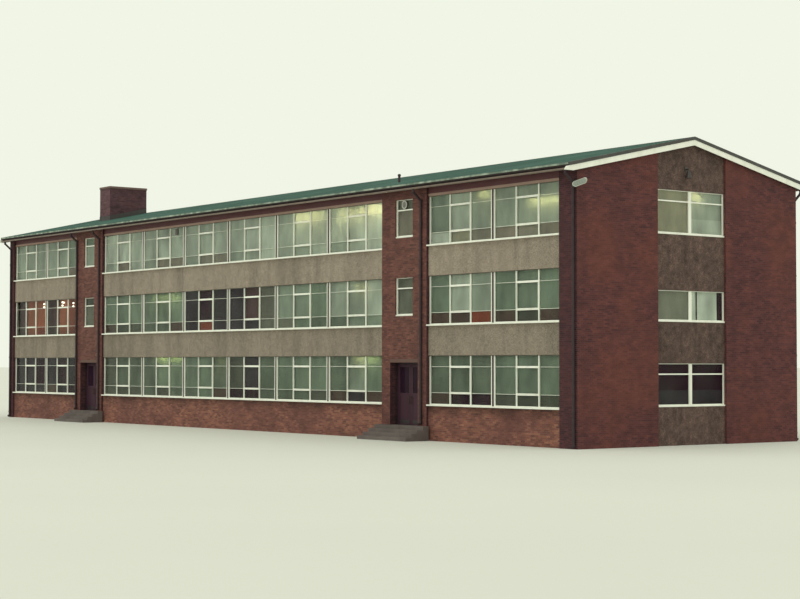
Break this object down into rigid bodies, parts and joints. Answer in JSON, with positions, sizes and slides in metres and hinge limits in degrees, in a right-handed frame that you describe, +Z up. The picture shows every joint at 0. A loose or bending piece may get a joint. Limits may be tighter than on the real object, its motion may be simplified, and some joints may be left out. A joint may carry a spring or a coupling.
{
  "type": "half-size scale model of a school building",
  "caption": "Long school block of three storeys with ribbon windows, brick stair bays, a low gable roof, a chimney and hinged entrance doors.",
  "frame": {"origin": "centre of the bounding box, at ground level", "axes": "+X along the long front towards the right-hand gable, -Y out of the front with the entrances, +Z up"},
  "size_m": [25.135, 7.132, 6.79],
  "materials": {
    "brick": "matt red-brown brick in pale mortar, darkened by soot and damp",
    "dado_brick": "matt orange-brown brick with paler patches",
    "aggregate": "grey-beige pebble-faced concrete with vertical staining",
    "dark_aggregate": "dark brown-grey pebble-faced concrete",
    "concrete": "smooth weathered concrete",
    "plaster": "matt white plaster",
    "frieze_paint": "dark red-brown paint on boards",
    "white_paint": "weathered off-white gloss paint",
    "dark_paint": "worn dark brown-grey paint",
    "glass": "clear glass with a grey-green cast",
    "door_timber": "dark brown gloss-painted timber",
    "roof_green": "green roof covering with paler weathered streaks",
    "capping": "dark grey-green metal edge",
    "grey_metal": "dull grey painted gutter, dark at its rim",
    "lamp_casing": "pale grey enamelled lamp casing"
  },
  "bodies": {
    "building": {"brick_piers": "brick", "stair_bay_infill": "brick", "dado_walls": "dado_brick", "spandrel_panels": "aggregate", "lintels": "concrete", "frieze_boards": "frieze_paint", "gable_walls": "brick", "gable_panels": "dark_aggregate", "floor_slabs": "concrete", "top_ceiling": "plaster", "classroom_window_frames": "white_paint", "stair_window_frames": "white_paint", "gable_window_frames": "white_paint", "bay_posts": "dark_paint", "window_sills": "white_paint", "ground_glass": "glass", "first_glass": "glass", "top_glass": "glass", "porch_returns": "brick", "door_jambs": "door_timber", "door_heads": "door_timber", "door_hinges": "door_timber", "door_steps": "concrete", "front_roof_slope": "roof_green", "rear_roof_slope": "roof_green", "roof_edge_capping": "capping", "barge_boards": "white_paint", "eaves_boards": "dark_paint", "gutters": "grey_metal", "downpipes": "dark_paint", "chimney_stack": "brick", "chimney_flashing": "roof_green", "roof_vent_pipe": "dark_paint", "wall_lamps": "lamp_casing", "window_ventilators": "white_paint"},
    "left_entrance_left_leaf": {"left_entrance_left_leaf": "door_timber", "left_entrance_left_pane": "glass"},
    "left_entrance_right_leaf": {"left_entrance_right_leaf": "door_timber", "left_entrance_right_pane": "glass"},
    "right_entrance_left_leaf": {"right_entrance_left_leaf": "door_timber", "right_entrance_left_pane": "glass"},
    "right_entrance_right_leaf": {"right_entrance_right_leaf": "door_timber", "right_entrance_right_pane": "glass"}
  },
  "joints": [
    {"name": "left_entrance_left_hinge", "type": "hinge", "parent": "building", "child": "left_entrance_left_leaf", "pos_m": [-7.8035, -2.781, 0.943], "axis": [0, 0, -1], "range_deg": [0, 90]},
    {"name": "left_entrance_right_hinge", "type": "hinge", "parent": "building", "child": "left_entrance_right_leaf", "pos_m": [-6.9105, -2.781, 0.943], "axis": [0, 0, 1], "range_deg": [0, 90]},
    {"name": "right_entrance_left_hinge", "type": "hinge", "parent": "building", "child": "right_entrance_left_leaf", "pos_m": [6.5565, -2.781, 0.943], "axis": [0, 0, -1], "range_deg": [0, 90]},
    {"name": "right_entrance_right_hinge", "type": "hinge", "parent": "building", "child": "right_entrance_right_leaf", "pos_m": [7.4495, -2.781, 0.943], "axis": [0, 0, 1], "range_deg": [0, 90]}
  ]
}
